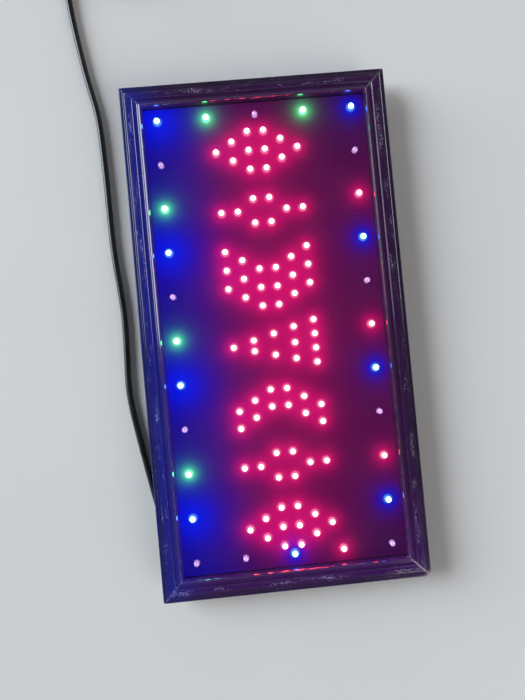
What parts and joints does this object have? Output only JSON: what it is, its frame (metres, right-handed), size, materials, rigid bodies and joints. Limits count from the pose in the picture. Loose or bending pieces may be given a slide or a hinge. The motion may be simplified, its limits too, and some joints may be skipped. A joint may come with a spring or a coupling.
{
  "type": "lighted advertising sign",
  "caption": "Flat rectangular window sign: mitred glossy black moulding, dark panel with coloured lamp figures and a lamp border, shallow back tray, side rocker switches, mains cord and plug.",
  "frame": {"origin": "under the middle of the sign, on the surface its back tray lies on", "axes": "+X along the long side, to the right as the sign hangs; +Y up the face; +Z out of the face"},
  "size_m": [0.6875, 0.2982, 0.028],
  "materials": {
    "rail_gloss_black": "glossy black",
    "panel_satin_black": "satin black",
    "tray_matt_black": "matt black",
    "lamp_red": "glowing red lens",
    "lamp_blue": "glowing blue lens",
    "lamp_green": "glowing green lens",
    "lamp_clear": "clear lens, unlit",
    "zinc_plated_steel": "zinc plated",
    "board_green": "solder mask",
    "capacitor_yellow": "yellow film capacitor case",
    "chip_black": "moulded black",
    "terminal_green": "moulded green",
    "header_white": "moulded white",
    "sleeve_black": "black sleeving",
    "fuse_glass": "clear glass",
    "resistor_beige": "lacquered",
    "ribbon_grey": "ribbon cable",
    "wire_brown": "brown insulation",
    "wire_blue": "blue insulation",
    "switch_black": "moulded black",
    "rocker_black": "moulded black, glossy",
    "cord_black": "black flexible PVC",
    "tie_black": "black nylon",
    "pin_nickel": "nickel-plated brass"
  },
  "bodies": {
    "sign": {"back_tray": "tray_matt_black", "bleeder_resistor": "resistor_beige", "board_screw_1": "zinc_plated_steel", "board_screw_2": "zinc_plated_steel", "board_screw_3": "zinc_plated_steel", "board_screw_4": "zinc_plated_steel", "border_lamps_blue": "lamp_blue", "border_lamps_green": "lamp_green", "border_lamps_red": "lamp_red", "border_lamps_spare": "lamp_clear", "bridge_rectifier": "chip_black", "chevron_lamps_left": "lamp_red", "chevron_lamps_right": "lamp_red", "control_board": "board_green", "controller_chip": "chip_black", "cord_coil": "cord_black", "cord_lead": "cord_black", "cord_outlet": "cord_black", "cord_tail": "cord_black", "cord_tie": "tie_black", "diamond_lamps_left": "lamp_red", "diamond_lamps_right": "lamp_red", "dropper_capacitor": "capacitor_yellow", "frame_rail_bottom": "rail_gloss_black", "frame_rail_left": "rail_gloss_black", "frame_rail_right": "rail_gloss_black", "frame_rail_top": "rail_gloss_black", "front_panel": "panel_satin_black", "lamp_header": "header_white", "line_fuse": "fuse_glass", "live_lead": "wire_brown", "mains_terminal": "terminal_green", "mitre_wedge_1": "zinc_plated_steel", "mitre_wedge_2": "zinc_plated_steel", "mitre_wedge_3": "zinc_plated_steel", "mitre_wedge_4": "zinc_plated_steel", "mode_switch_housing": "switch_black", "mode_switch_lead": "sleeve_black", "neutral_lead": "wire_blue", "plug_body": "cord_black", "plug_pin_1": "pin_nickel", "plug_pin_2": "pin_nickel", "power_switch_housing": "switch_black", "power_switch_lead": "sleeve_black", "smoothing_capacitor": "sleeve_black", "star_lamps_left": "lamp_red", "star_lamps_right": "lamp_red", "strain_relief": "cord_black", "tray_screw_1": "zinc_plated_steel", "tray_screw_2": "zinc_plated_steel", "tray_screw_3": "zinc_plated_steel", "tray_screw_4": "zinc_plated_steel", "tray_screw_5": "zinc_plated_steel", "tray_screw_6": "zinc_plated_steel", "tray_screw_7": "zinc_plated_steel", "tray_screw_8": "zinc_plated_steel", "triangle_lamps": "lamp_red", "wiring_harness": "ribbon_grey"},
    "power_rocker": {"power_rocker": "rocker_black"},
    "mode_rocker": {"mode_rocker": "rocker_black"}
  },
  "joints": [
    {"name": "power_rocker_hinge", "type": "hinge", "parent": "sign", "child": "power_rocker", "pos_m": [0.2348, -0.066, 0.0176], "axis": [0, 0, 1], "range_deg": [0, 20]},
    {"name": "mode_rocker_hinge", "type": "hinge", "parent": "sign", "child": "mode_rocker", "pos_m": [0.2348, -0.04, 0.0176], "axis": [0, 0, 1], "range_deg": [0, 20]}
  ]
}
